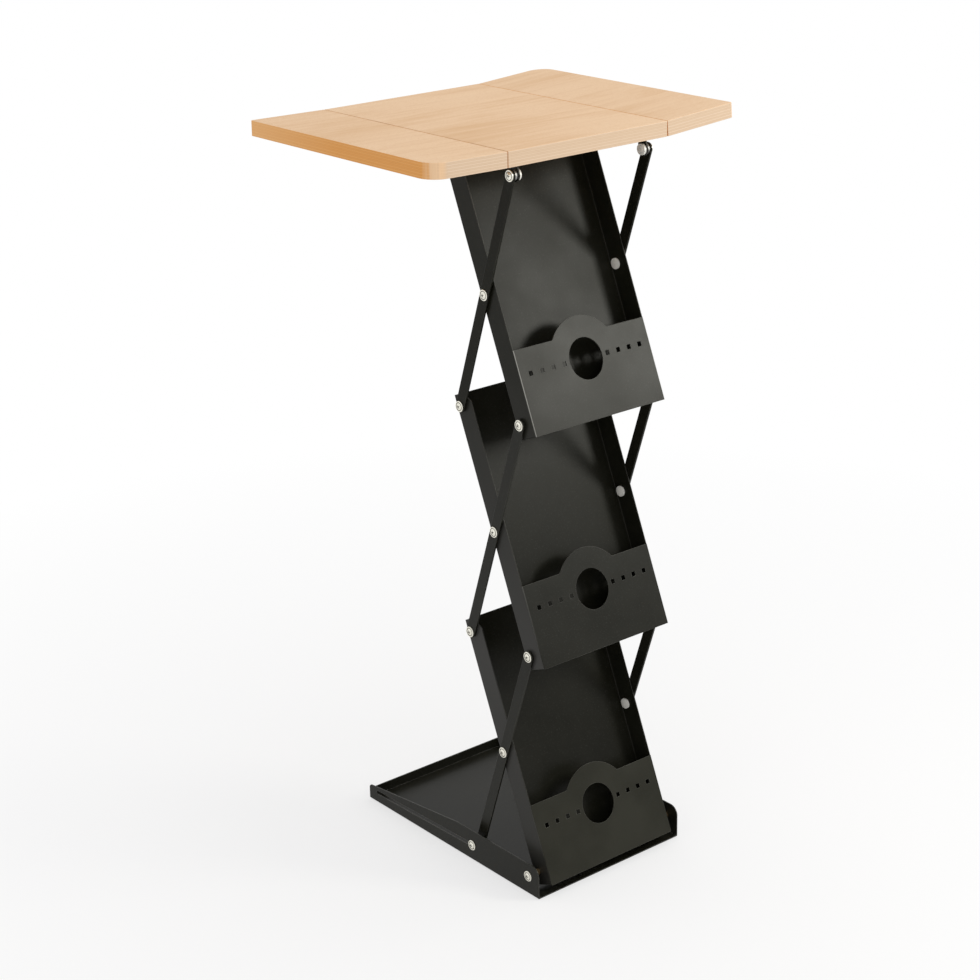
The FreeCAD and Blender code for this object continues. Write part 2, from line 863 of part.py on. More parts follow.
def main():
    os.makedirs("parts", exist_ok=True)
    save("base_pan", base_pan())
    save("base_feet", base_feet())
    save("base_hinge_screws", base_hinge_screws())
    save("base_hinge_bushes", base_hinge_bushes())
    save("base_hinge_cap_nuts", base_hinge_nuts())
    shell = tray_shell()
    front = pocket_front()
    for level in range(level_count):
        number = str(level + 1)
        save("tray_" + number + "_shell", [lean_tray(shell, level)])
        save("tray_" + number + "_pocket_front", [lean_tray(front, level)])
        save("tray_" + number + "_pivot_screws", tray_screws(level))
        save("tray_" + number + "_cap_nuts", tray_nuts(level))
        save("tray_" + number + "_washers", tray_washers(level))
        save("bar_" + number + "_left", left_bar(level))
        save("bar_" + number + "_right", right_bar(level))
    save("slot_pins", slot_pins())
    save("slot_pin_spacers", slot_spacers())
    save("slot_pin_cap_nuts", slot_nuts())
    save("slide_pins", slide_pins())
    save("slide_pin_sleeves", slide_sleeves())
    save("slide_pin_cap_nuts", slide_nuts())
    save("counter_centre", centre_panel())
    save("counter_left_leaf", left_leaf())
    save("counter_right_leaf", right_leaf())
    save("centre_hinge_barrels", centre_barrels())
    save("left_leaf_hinge_barrels", left_leaf_barrels())
    save("right_leaf_hinge_barrels", right_leaf_barrels())
    save("left_ear", left_ear())
    save("right_ear", right_ear())
    save("ear_screws", ear_screws())
    save("ear_spacers", ear_spacers())
    save("ear_cap_nuts", ear_nuts())
    save("left_slide_rail", left_rail())
    save("right_slide_rail", right_rail())
    save("bracket_wood_screws", wood_screws())
    print("fold range", round(fold_range, 2), "folded angle", round(folded_angle, 2))
    print("overall depth", round(counter_rear - front_most - origin_shift, 2))
    print("counter top", round(counter_top, 2))


main()
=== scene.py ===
import math

import bpy
from mathutils import Matrix, Vector


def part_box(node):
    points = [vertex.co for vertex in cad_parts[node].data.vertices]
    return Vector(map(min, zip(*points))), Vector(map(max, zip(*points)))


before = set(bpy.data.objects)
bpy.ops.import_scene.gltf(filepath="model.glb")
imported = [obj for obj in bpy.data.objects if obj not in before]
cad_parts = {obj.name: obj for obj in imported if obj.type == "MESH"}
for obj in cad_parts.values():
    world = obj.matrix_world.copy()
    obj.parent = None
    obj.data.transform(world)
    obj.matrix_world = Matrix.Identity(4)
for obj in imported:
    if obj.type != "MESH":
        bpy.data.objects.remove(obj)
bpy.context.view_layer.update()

# The looks of a folding counter rack: black powder coated steel, beech plywood, nickel plated
# screws, nylon washers and rubber feet.
# Lengths are metres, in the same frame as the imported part. Colours are linear.

MM = 0.001

# Camera, solved from the photograph's own points
IMAGE_SIDE = 980
FOCAL_PIXELS = 2190.41
SENSOR = 36.0
CAMERA_PLACE = Vector((-1.8449, -2.2317, 1.6072))
CAMERA_YAW = math.radians(39.040)
CAMERA_PITCH = math.radians(20.607)
CAMERA_ROLL = math.radians(-1.267)

# Light: the world and two soft boxes add up to about 1 on surfaces that face up
AMBIENT = 0.82
KEY_PLACE = Vector((1.38, -1.62, 1.45))
KEY_TARGET = Vector((0.0, -0.15, 0.75))
KEY_SIDE = 0.55
KEY_POWER = 17.0
KEY_COLOUR = (1.0, 0.99, 0.90)
TOP_PLACE = Vector((0.35, -0.35, 3.1))
TOP_TARGET = Vector((0.0, 0.0, 0.9))
TOP_SIDE = 2.2
TOP_POWER = 8.0
PLAIN_LIGHT = (1.0, 1.0, 1.0)

# Floor
WHITE = (1.0, 1.0, 1.0, 1.0)
FLOOR_SIDE = 9.0
FLOOR_COLOUR = (0.86, 0.855, 0.86, 1.0)
FLOOR_WHITE_SHARE = 0.62
FLOOR_FADE_NEAR = 0.35
FLOOR_FADE_FAR = 1.7

# A noise is written as its scale, detail, roughness and distortion, and left short where the rest
# is usual. Where it stretches, its scale is 1 and the stretch says how fine it is along X, Y and Z.
# Most of a noise lies within these bounds.
WIDE = (0.30, 0.70)
NARROW = (0.35, 0.65)

# Powder coat
COAT_DARK = (0.0082, 0.0080, 0.0048, 1.0)
COAT_LIGHT = (0.0120, 0.0117, 0.0078, 1.0)
# The edge colour is partly worn coat and partly a painted highlight
COAT_EDGE_WEAR_AND_HIGHLIGHT = (0.210, 0.205, 0.185, 1.0)
COAT_SPECK = (0.022, 0.022, 0.018, 1.0)
COAT_BLOTCH_NOISE = (14.0, 3.0, 0.55)
COAT_PEEL_NOISE = (1300.0, 2.0, 0.45)
COAT_PEEL_HEIGHT = 0.03 * MM
COAT_SPECK_NOISE = (620.0, 1.0)
COAT_SPECK_RANGE = (0.60, 0.74)
EDGE_WEAR_AND_HIGHLIGHT_SHARES = (0.35, 0.9)
COAT_ROUGHNESS = (0.30, 0.36)
COAT_SPECULAR = 0.14
TRAY_SPECULAR = 0.10
# The top bars reflect less, as painted shade under the counter
TOP_BAR_SHADED_SPECULAR = 0.07
# The lowest pocket front is painted lighter, standing in for light falling on it
LOW_POCKET_PAINTED_LIGHT = 1.9

# Sheet edges: how far the lighter edge reaches, partly worn coat and partly painted highlight, and how much
# the rounded normal has turned there
SHEET_EDGE = 0.8 * MM
EDGE_TURN = (0.995, 0.80)
BEVEL_SAMPLES = 4

# Painted highlight on the round bends of the pocket fronts, fading out lower down
COAT_BEND_HIGHLIGHT = (0.340, 0.335, 0.310, 1.0)
BEND_REACH = 1.1 * MM
BEND_FULL_SHARE = 0.8
BEND_STARTS = (0.05, 0.25)
BEND_ENDS = (0.98, 0.88)
BEND_HIGHLIGHT_HEIGHT = (0.36, 0.74)

# Painted light on the outside of the tray walls, lighter low down as if lit from the floor
COAT_BOUNCE_LIGHT = (0.042, 0.041, 0.038, 1.0)
BOUNCE_LIGHT_SKIN = (0.6 * MM, 0.3 * MM)
BOUNCE_LIGHT_HEIGHT = (0.75, 0.33)
BOUNCE_LIGHT_FOOT = (0.05, 0.30)
BOUNCE_LIGHT_FOOT_SHARE = 0.55

# Face veneer
FACE_PALE = (0.810, 0.582, 0.385, 1.0)
FACE_MID = (0.775, 0.542, 0.350, 1.0)
FACE_DEEP = (0.680, 0.435, 0.245, 1.0)
FIGURE_STRETCH = (3.0, 9.0, 1.0)
FIGURE_NOISE = (1.0, 4.0, 0.55, 0.6)
FIGURE_SHARE = 0.6
STREAK_STRETCH = (5.0, 110.0, 20.0)
STREAK_NOISE = (1.0, 6.0, 0.6, 0.35)
STREAK_SHARE = 0.4
PORE_STRETCH = (260.0, 1300.0, 200.0)
PORE_NOISE = (1.0, 2.0, 0.5)
PORE_RANGE = (0.52, 0.72)
PORE_SHARE = 0.75
MID_TONE = (0.34, 0.52)
PALE_TONE = (0.50, 0.66)
VARNISH_ROUGHNESS = (0.66, 0.76)
WOOD_RELIEF = 0.04 * MM
RELIEF_SHARE = 0.5
WOOD_SPECULAR = 0.12
CENTRE_OFFSET = (0.0, 0.0, 0.0)
LEFT_OFFSET = (4.3, 7.1, 2.0)
RIGHT_OFFSET = (9.7, 3.9, 5.0)

# Plies on the edges
PLY_COUNT = 11
PLY_WAVE = 0.12 * MM
PLY_WAVE_NOISE = (22.0, 2.0)
PLY_APART = 3.7
FRONT_LONG = (0.740, 0.575, 0.435, 1.0)
FRONT_END = (0.670, 0.500, 0.350, 1.0)
# The sides' deep orange is partly the plies' own colour and partly painted shade; right-facing sides turn
# part way to a paler colour without that shade
SIDE_LONG = (0.830, 0.430, 0.145, 1.0)
SIDE_END = (0.760, 0.350, 0.100, 1.0)
# Painted light: the sides turn paler towards the rear
SIDE_REAR_LIGHT = (0.940, 0.620, 0.330, 1.0)
SIDE_UNSHADED = (0.640, 0.470, 0.310, 1.0)
# Painted light on the round corners
CORNER_LIGHT = (0.920, 0.640, 0.400, 1.0)
GLUE = (0.420, 0.200, 0.080, 1.0)
FACE_TURN = (0.62, 0.80)
SIDE_TURN = (-0.95, 0.30)
UPRIGHT_STRETCH = (160.0, 160.0, 4.0)
UPRIGHT_WANDER = 0.5
CORNER_LIGHT_TURN = 0.15
CORNER_LIGHT_RANGE = (0.80, 0.20)
CORNER_LIGHT_SHARE = 0.8
LONG_GRAIN_STRETCH = (14.0, 14.0, 900.0)
LONG_GRAIN_NOISE = (1.0, 4.0, 0.6)
END_GRAIN_STRETCH = (420.0, 420.0, 700.0)
END_GRAIN_NOISE = (1.0, 3.0, 0.6)
TICK_RANGE = (0.48, 0.66)
TICK_SHARE = 0.42
PLY_TONE_STEP = 2.31
PLY_TONE_SHARE = 0.75
RIGHT_TURN = (0.2, 0.8)
RIGHT_SHARE = 0.5
GLUE_REACH = 0.10
GLUE_STRETCH = (60.0, 60.0, 300.0)
GLUE_NOISE = (1.0, 3.0)
GLUE_SHARES = (0.35, 0.85)
REAR_LIGHT_RANGE = (0.02, 0.20)
REAR_LIGHT_SHARE = 0.35
EDGE_ROUGHNESS = 0.70

# Painted shade along the seams between the counter's leaves
SEAM_SHADE = (0.250, 0.110, 0.050, 1.0)
SEAM_HALF_GAP = 0.35 * MM
SEAM_REACH = 1.4 * MM
SEAM_CORE = 0.4 * MM
SEAM_NOISE = (30.0, 3.0)
SEAM_NOISE_RANGE = (0.35, 0.60)
SEAM_SHARES = (0.35, 0.9)
SEAM_TURN = (0.95, 0.70)
RIGHT_SEAM_SHARE = 0.15

# The side of the centre that each leaf lies on, and how far it stands above flat about its seam
LEFT_SIDE = -1
LEFT_LEAF_RISE = math.radians(1.0)
RIGHT_SIDE = 1
RIGHT_LEAF_RISE = math.radians(4.0)

# Metals: a bright and a shaded colour, and a roughness
NICKEL = (0.920, 0.900, 0.800, 1.0)
NICKEL_SHADE = (0.740, 0.715, 0.620, 1.0)
NICKEL_ROUGHNESS = 0.24
SATIN = (0.860, 0.845, 0.790, 1.0)
SATIN_SHADE = (0.780, 0.765, 0.710, 1.0)
SATIN_ROUGHNESS = 0.45
SATIN_METAL = 0.25
DULL = (0.520, 0.515, 0.500, 1.0)
DULL_SHADE = (0.380, 0.375, 0.360, 1.0)
DULL_ROUGHNESS = 0.42
ZINC = (0.600, 0.590, 0.560, 1.0)
ZINC_SHADE = (0.400, 0.390, 0.360, 1.0)
ZINC_ROUGHNESS = 0.36
BRASS = (0.420, 0.310, 0.170, 1.0)
BRASS_SHADE = (0.280, 0.200, 0.100, 1.0)
BRASS_ROUGHNESS = 0.34
PLATE_CLOUD_NOISE = (260.0, 3.0, 0.6)
PLATE_CLOUD_RANGE = (0.35, 0.70)
PLATE_ROUGHER = 0.12
TURNING_NOISE = (2600.0, 2.0)
TURNING_RELIEF = 0.01 * MM
# Painted shade in grooves and recesses
RECESS_SHADE = (0.022, 0.021, 0.019, 1.0)
RECESS_SHADE_REACH = 1.5 * MM
RECESS_SHADE_RANGE = (0.88, 0.58)
RECESS_SHADE_SAMPLES = 8

# Nylon and rubber
NYLON = (0.016, 0.016, 0.017, 1.0)
NYLON_LIGHT = (0.030, 0.030, 0.031, 1.0)
NYLON_ROUGHNESS = 0.45
NYLON_GRAIN = 1800.0
RUBBER = (0.014, 0.014, 0.014, 1.0)
RUBBER_LIGHT = (0.028, 0.027, 0.026, 1.0)
RUBBER_ROUGHNESS = 0.75
RUBBER_GRAIN = 1500.0
MOULD_CLOUD_NOISE = (180.0, 3.0)
MOULD_RELIEF = 0.03 * MM
MOULD_ROUGHER = 0.05

# Sockets of the colour mix node: the share, the two colours and the result
MIX_SHARE = 0
MIX_FIRST = 6
MIX_SECOND = 7
MIX_RESULT = 2


# Node helpers


def node(tree, kind, inputs=None, **settings):
    """One shader node. An input is a plain value, or a socket that is linked to it."""
    made = tree.nodes.new(kind)
    for key, value in settings.items():
        setattr(made, key, value)
    for key, value in (inputs or {}).items():
        if isinstance(value, bpy.types.NodeSocket):
            tree.links.new(value, made.inputs[key])
        else:
            made.inputs[key].default_value = value
    return made


def calc(tree, operation, first, second=0.0, third=0.0, clamp=False):
    made = node(tree, "ShaderNodeMath", {0: first, 1: second, 2: third}, operation=operation)
    made.use_clamp = clamp
    return made.outputs[0]


def product(tree, first, *others):
    for other in others:
        first = calc(tree, "MULTIPLY", first, other)
    return first


def vector_calc(tree, operation, first, second):
    return node(tree, "ShaderNodeVectorMath", {0: first, 1: second}, operation=operation)


def axes(tree, vector):
    """The X, Y and Z of a vector."""
    return node(tree, "ShaderNodeSeparateXYZ", {0: vector}).outputs


def along_x(tree, distance, y=0.0):
    return node(tree, "ShaderNodeCombineXYZ", {0: distance, 1: y, 2: 0.0}).outputs[0]


def ramp(tree, value, low, high, to_low=0.0, to_high=1.0):
    """The value carried from one range to another, held at the ends."""
    inputs = {"Value": value, "From Min": low, "From Max": high, "To Min": to_low, "To Max": to_high}
    return node(tree, "ShaderNodeMapRange", inputs, clamp=True).outputs[0]


def blend_colour(tree, share, first, second):
    inputs = {MIX_SHARE: share, MIX_FIRST: first, MIX_SECOND: second}
    return node(tree, "ShaderNodeMix", inputs, data_type="RGBA").outputs[MIX_RESULT]


def noise(tree, place, scale, detail=2.0, roughness=0.5, distortion=0.0):
    inputs = {"Vector": place, "Scale": scale, "Detail": detail, "Roughness": roughness,
              "Distortion": distortion}
    return node(tree, "ShaderNodeTexNoise", inputs).outputs["Fac"]


def stretched(tree, place, scale, offset=(0.0, 0.0, 0.0)):
    inputs = {"Vector": place, "Scale": scale, "Location": offset}
    return node(tree, "ShaderNodeMapping", inputs).outputs[0]


def relief(tree, height, distance, **normal):
    inputs = {"Height": height, "Distance": distance, "Strength": 1.0, **normal}
    return node(tree, "ShaderNodeBump", inputs).outputs[0]


def new_material(name):
    """A material with its Principled shader, and the object's own coordinates and normal."""
    material = bpy.data.materials.new(name)
    material.use_nodes = True
    tree = material.node_tree
    tree.nodes.clear()
    shader = node(tree, "ShaderNodeBsdfPrincipled")
    node(tree, "ShaderNodeOutputMaterial", {"Surface": shader.outputs[0]})
    coordinates = node(tree, "ShaderNodeTexCoord")
    return material, tree, shader, coordinates


def finish_surface(tree, shader, colour, roughness, normal):
    tree.links.new(colour, shader.inputs["Base Color"])
    tree.links.new(roughness, shader.inputs["Roughness"])
    tree.links.new(normal, shader.inputs["Normal"])


def edge_share(tree, radius):
    """How near a sharp edge a point lies, from 0 to 1, and the normal rounded over that edge."""
    rounded = node(tree, "ShaderNodeBevel", {"Radius": radius}, samples=BEVEL_SAMPLES).outputs[0]
    flat = node(tree, "ShaderNodeNewGeometry").outputs["Normal"]
    along = vector_calc(tree, "DOT_PRODUCT", rounded, flat).outputs["Value"]
    return ramp(tree, along, *EDGE_TURN), rounded


# Powder coat


def painted_bend_highlight(tree, coordinates, bend_at):
    """The small round bend at each side of a pocket front, with a painted highlight that fades out lower
    down.
    """
    place = axes(tree, coordinates.outputs["Object"])
    across = calc(tree, "ABSOLUTE", place[0])
    side_on = calc(tree, "ABSOLUTE", axes(tree, coordinates.outputs["Normal"])[0])
    near_side = ramp(tree, across, bend_at - BEND_REACH, bend_at - BEND_FULL_SHARE * BEND_REACH)
    turning = product(tree, ramp(tree, side_on, *BEND_STARTS), ramp(tree, side_on, *BEND_ENDS))
    highlight_fade = ramp(tree, place[2], *BEND_HIGHLIGHT_HEIGHT)
    return product(tree, near_side, turning, highlight_fade)


def painted_bounce_light(tree, coordinates, wall_at):
    """How much painted light lies on the outside of a tray wall: more on the lower trays, less at the foot.
    """
    place = axes(tree, coordinates.outputs["Object"])
    across = calc(tree, "ABSOLUTE", place[0])
    outside = ramp(tree, across, wall_at - BOUNCE_LIGHT_SKIN[0], wall_at - BOUNCE_LIGHT_SKIN[1])
    low_down = ramp(tree, place[2], *BOUNCE_LIGHT_HEIGHT)
    above_foot = ramp(tree, place[2], *BOUNCE_LIGHT_FOOT, BOUNCE_LIGHT_FOOT_SHARE, 1.0)
    return product(tree, outside, low_down, above_foot)


def brightened(colour, share):
    return tuple(share * part for part in colour[:3]) + (1.0,)


def powder_coat(name, bend_at=None, wall_at=None, light=1.0, specular=COAT_SPECULAR):
    """Black powder coat with a fine peel, and lighter edges that are partly worn coat and partly a painted
    highlight. A front says how far out its bends lie, where a highlight is painted, a tray its walls, where
    painted light lies, and light scales the colour up as painted light.
    """
    material, tree, shader, coordinates = new_material(name)
    place = coordinates.outputs["Object"]
    blotch = noise(tree, place, *COAT_BLOTCH_NOISE)
    peel = noise(tree, place, *COAT_PEEL_NOISE)
    edge, rounded = edge_share(tree, SHEET_EDGE)
    dark = brightened(COAT_DARK, light)
    pale = brightened(COAT_LIGHT, light)
    colour = blend_colour(tree, ramp(tree, blotch, *NARROW), dark, pale)
    speck = ramp(tree, noise(tree, place, *COAT_SPECK_NOISE), *COAT_SPECK_RANGE)
    colour = blend_colour(tree, speck, colour, COAT_SPECK)
    # Lighter edges: partly worn coat, partly a painted highlight.
    worn_and_highlight = product(tree, edge, ramp(tree, blotch, *WIDE, *EDGE_WEAR_AND_HIGHLIGHT_SHARES))
    colour = blend_colour(tree, worn_and_highlight, colour, COAT_EDGE_WEAR_AND_HIGHLIGHT)
    # Tray walls: painted light, lighter towards the bottom.
    if wall_at:
        colour = blend_colour(tree, painted_bounce_light(tree, coordinates, wall_at), colour, COAT_BOUNCE_LIGHT)
    # Pocket fronts: a painted highlight along their side bends.
    if bend_at:
        colour = blend_colour(tree, painted_bend_highlight(tree, coordinates, bend_at), colour, COAT_BEND_HIGHLIGHT)
    roughness = ramp(tree, blotch, *WIDE, *COAT_ROUGHNESS)
    finish_surface(tree, shader, colour, roughness, relief(tree, peel, COAT_PEEL_HEIGHT, Normal=rounded))
    shader.inputs["Specular IOR Level"].default_value = specular
    return material


# Plywood


def face_veneer(tree, place, offset):
    """The face's colour with its broad figure, its streaks along X and its short pore lines."""
    figure = noise(tree, stretched(tree, place, FIGURE_STRETCH, offset), *FIGURE_NOISE)
    streak = noise(tree, stretched(tree, place, STREAK_STRETCH, offset), *STREAK_NOISE)
    pore = noise(tree, stretched(tree, place, PORE_STRETCH, offset), *PORE_NOISE)
    tone = calc(tree, "ADD", product(tree, figure, FIGURE_SHARE), product(tree, streak, STREAK_SHARE))
    face = blend_colour(tree, ramp(tree, tone, *MID_TONE), FACE_DEEP, FACE_MID)
    face = blend_colour(tree, ramp(tree, tone, *PALE_TONE), face, FACE_PALE)
    pore_mark = product(tree, ramp(tree, pore, *PORE_RANGE), PORE_SHARE)
    return blend_colour(tree, pore_mark, face, FACE_DEEP), streak, pore


def height_in_panel(tree, place, side, rise, seam_at, top):
    """The height of a point once its leaf is turned down flat about the top of its seam."""
    upwards = (-side * math.sin(rise), 0.0, math.cos(rise))
    risen = vector_calc(tree, "DOT_PRODUCT", place, upwards).outputs["Value"]
    lost = top * (1.0 - math.cos(rise)) + seam_at * math.sin(rise)
    return calc(tree, "ADD", risen, lost)


def ply_layers(tree, place, height, under, thick):
    """For each point of an edge: which of two kinds of ply it is in, which ply, and how near a glue line."""
    wave = noise(tree, place, *PLY_WAVE_NOISE)
    shift = calc(tree, "MULTIPLY_ADD", wave, 2 * PLY_WAVE, -PLY_WAVE - under)
    level = calc(tree, "MULTIPLY", calc(tree, "ADD", height, shift), PLY_COUNT / thick)
    index = calc(tree, "FLOOR", level)
    kind = calc(tree, "PINGPONG", index, 1.0)
    within = calc(tree, "FRACT", level)
    from_glue = calc(tree, "PINGPONG", within, 0.5)
    return kind, index, ramp(tree, from_glue, GLUE_REACH, 0.0)


def side_shares(tree, place, normal):
    """How much a point of an edge belongs to a side rather than the front or rear, and how much painted
    light it gets on a round corner.
    """
    side_on = calc(tree, "ABSOLUTE", normal[0])
    front_on = calc(tree, "ABSOLUTE", normal[1])
    turned = calc(tree, "SUBTRACT", side_on, front_on)
    on_bend = calc(tree, "SUBTRACT", 1.0, calc(tree, "ABSOLUTE", turned))
    upright = noise(tree, stretched(tree, place, UPRIGHT_STRETCH), 1.0)
    wander = ramp(tree, upright, *WIDE, -UPRIGHT_WANDER, UPRIGHT_WANDER)
    turned = calc(tree, "MULTIPLY_ADD", on_bend, wander, turned)
    from_corner = calc(tree, "ABSOLUTE", calc(tree, "ADD", turned, CORNER_LIGHT_TURN))
    return ramp(tree, turned, *SIDE_TURN), ramp(tree, from_corner, *CORNER_LIGHT_RANGE)


def edge_plies(tree, place, normal, layers, offset):
    """The edge's colour: plies take turns between long grain and end grain, with glue lines between."""
    is_side, lit_corner = side_shares(tree, place, normal)
    kind, index, glue = layers
    apart = along_x(tree, product(tree, index, PLY_APART))
    layer_place = vector_calc(tree, "ADD", place, apart).outputs[0]
    is_end = calc(tree, "ABSOLUTE", calc(tree, "SUBTRACT", kind, is_side))
    long_colour = blend_colour(tree, is_side, FRONT_LONG, SIDE_LONG)
    end_colour = blend_colour(tree, is_side, FRONT_END, SIDE_END)
    edge = blend_colour(tree, is_end, long_colour, end_colour)
    ply_tone = noise(tree, along_x(tree, product(tree, index, PLY_TONE_STEP), offset[0]), 1.0)
    edge = blend_colour(tree, ramp(tree, ply_tone, *NARROW, 0.0, PLY_TONE_SHARE), edge, end_colour)

    long_grain = noise(tree, stretched(tree, layer_place, LONG_GRAIN_STRETCH), *LONG_GRAIN_NOISE)
    end_grain = noise(tree, stretched(tree, layer_place, END_GRAIN_STRETCH), *END_GRAIN_NOISE)
    ticks = product(tree, calc(tree, "ADD", long_grain, end_grain), 0.5)
    edge = blend_colour(tree, ramp(tree, ticks, *TICK_RANGE, 0.0, TICK_SHARE), edge, end_colour)
    # Right-facing sides: part way to the paler side colour, without the painted shade.
    edge = blend_colour(tree, ramp(tree, normal[0], *RIGHT_TURN, 0.0, RIGHT_SHARE), edge, SIDE_UNSHADED)

    broken = noise(tree, stretched(tree, layer_place, GLUE_STRETCH), *GLUE_NOISE)
    glue_line = product(tree, glue, ramp(tree, broken, *NARROW, *GLUE_SHARES))
    edge = blend_colour(tree, glue_line, edge, GLUE)
    # The sides turn paler towards the rear: painted light.
    lit_rearward = ramp(tree, axes(tree, place)[1], *REAR_LIGHT_RANGE, 0.0, REAR_LIGHT_SHARE)
    edge = blend_colour(tree, product(tree, lit_rearward, is_side), edge, SIDE_REAR_LIGHT)
    # Round corners: painted light, paler than side and front.
    return blend_colour(tree, product(tree, lit_corner, CORNER_LIGHT_SHARE), edge, CORNER_LIGHT)


def painted_seam_shade(tree, place, normal, seam_at):
    """The painted shade along a seam, unevenly strong, fainter on the right and absent inside the seam."""
    x_place = axes(tree, place)[0]
    side_on = calc(tree, "ABSOLUTE", normal[0])
    from_seam = calc(tree, "ABSOLUTE", calc(tree, "SUBTRACT", calc(tree, "ABSOLUTE", x_place), seam_at))
    near_seam = ramp(tree, from_seam, SEAM_REACH, SEAM_CORE)
    strength = ramp(tree, noise(tree, place, *SEAM_NOISE), *SEAM_NOISE_RANGE, *SEAM_SHARES)
    outside = ramp(tree, side_on, *SEAM_TURN)
    return product(tree, near_seam, strength, outside, ramp(tree, x_place, -MM, MM, 1.0, RIGHT_SEAM_SHARE))


def plywood(name, offset, side=0, rise=0.0):
    """Beech plywood: the face grain runs along X, and every edge shows its plies."""
    material, tree, shader, coordinates = new_material(name)
    place = coordinates.outputs["Object"]
    normal = axes(tree, coordinates.outputs["Normal"])
    lower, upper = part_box("counter_centre")
    seam_at = upper.x + SEAM_HALF_GAP
    is_face = ramp(tree, calc(tree, "ABSOLUTE", normal[2]), *FACE_TURN)
    face, streak, pore = face_veneer(tree, place, offset)
    height = height_in_panel(tree, place, side, rise, seam_at, upper.z)
    layers = ply_layers(tree, place, height, lower.z, upper.z - lower.z)
    edge = edge_plies(tree, place, normal, layers, offset)
    colour = blend_colour(tree, is_face, edge, face)
    # Painted shade along the seams.
    colour = blend_colour(tree, painted_seam_shade(tree, place, normal, seam_at), colour, SEAM_SHADE)
    varnished = ramp(tree, streak, *WIDE, *VARNISH_ROUGHNESS)
    roughness = ramp(tree, is_face, 0.0, 1.0, EDGE_ROUGHNESS, varnished)
    surface = product(tree, calc(tree, "SUBTRACT", streak, pore), RELIEF_SHARE)
    finish_surface(tree, shader, colour, roughness, relief(tree, surface, WOOD_RELIEF))
    shader.inputs["Specular IOR Level"].default_value = WOOD_SPECULAR
    return material


# Metals and plastics


def plated(name, bright, shade, roughness, metal=1.0):
    """A plated or turned metal with fine turning marks and painted shade darkening its grooves and recesses.
    """
    material, tree, shader, coordinates = new_material(name)
    place = coordinates.outputs["Object"]
    cloud = noise(tree, place, *PLATE_CLOUD_NOISE)
    turning = noise(tree, place, *TURNING_NOISE)
    clean = blend_colour(tree, ramp(tree, cloud, *PLATE_CLOUD_RANGE), bright, shade)
    # Painted shade: darker where the surface is hemmed in, in grooves and recesses.
    open_share = node(tree, "ShaderNodeAmbientOcclusion", {"Distance": RECESS_SHADE_REACH}, samples=RECESS_SHADE_SAMPLES,
                      only_local=True).outputs["AO"]
    colour = blend_colour(tree, ramp(tree, open_share, *RECESS_SHADE_RANGE), clean, RECESS_SHADE)
    roughness = ramp(tree, cloud, *WIDE, roughness, roughness + PLATE_ROUGHER)
    finish_surface(tree, shader, colour, roughness, relief(tree, turning, TURNING_RELIEF))
    shader.inputs["Metallic"].default_value = metal
    return material


def moulded(name, dark, light, roughness, grain):
    """Nylon or rubber, with a fine moulded grain."""
    material, tree, shader, coordinates = new_material(name)
    place = coordinates.outputs["Object"]
    cloud = noise(tree, place, *MOULD_CLOUD_NOISE)
    fine = noise(tree, place, grain)
    colour = blend_colour(tree, ramp(tree, cloud, *NARROW), dark, light)
    roughness = ramp(tree, fine, *WIDE, roughness - MOULD_ROUGHER, roughness + MOULD_ROUGHER)
    finish_surface(tree, shader, colour, roughness, relief(tree, fine, MOULD_RELIEF))
    return material


# Which node wears what


def dress(material, *names):
    for name in names:
        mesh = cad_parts[name].data
        mesh.materials.clear()
        mesh.materials.append(material)


def dress_slots():
    """The usual finish of each of the record's material slots."""
    finishes = {
        "black_steel": powder_coat("black_powder_coat"),
        "bright_steel": plated("nickel_plate", NICKEL, NICKEL_SHADE, NICKEL_ROUGHNESS),
        "brass": plated("brass", BRASS, BRASS_SHADE, BRASS_ROUGHNESS),
        "washer_nylon": moulded("black_nylon", NYLON, NYLON_LIGHT, NYLON_ROUGHNESS, NYLON_GRAIN),
        "foot_rubber": moulded("foot_rubber", RUBBER, RUBBER_LIGHT, RUBBER_ROUGHNESS, RUBBER_GRAIN),
    }
    for name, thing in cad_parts.items():
        slot = thing.material_slots[0].material.name
        if slot in finishes:
            dress(finishes[slot], name)


def dress_metals():
    dress(plated("zinc_plate", ZINC, ZINC_SHADE, ZINC_ROUGHNESS), "bracket_wood_screws")
    dress(plated("dull_steel", DULL, DULL_SHADE, DULL_ROUGHNESS), "ear_spacers")
    dress(plated("satin_nickel", SATIN, SATIN_SHADE, SATIN_ROUGHNESS, SATIN_METAL),
          "base_hinge_cap_nuts", "slot_pin_cap_nuts", "slide_pin_cap_nuts", "ear_cap_nuts")
    dress(plated("pale_nickel", SATIN, SATIN_SHADE, SATIN_ROUGHNESS, 0.0),
          "tray_1_cap_nuts", "tray_2_cap_nuts", "tray_3_cap_nuts")


def dress_trays():
    shells = ["tray_1_shell", "tray_2_shell", "tray_3_shell"]
    pockets = ["tray_1_pocket_front", "tray_2_pocket_front", "tray_3_pocket_front"]
    wall_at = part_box(shells[0])[1].x
    dress(powder_coat("tray_powder_coat", wall_at=wall_at, specular=TRAY_SPECULAR), *shells)
    bend_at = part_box(pockets[0])[1].x
    # The lowest pocket front: a copy of the coat with painted light.
    dress(powder_coat("low_pocket_painted_light_coat", bend_at, light=LOW_POCKET_PAINTED_LIGHT), pockets[0])
    dress(powder_coat("pocket_powder_coat", bend_at), *pockets[1:])
    # The top bars: a copy of the coat with painted shade from the counter.
    dress(powder_coat("top_bar_shaded_powder_coat", specular=TOP_BAR_SHADED_SPECULAR), "bar_3_left", "bar_3_right")


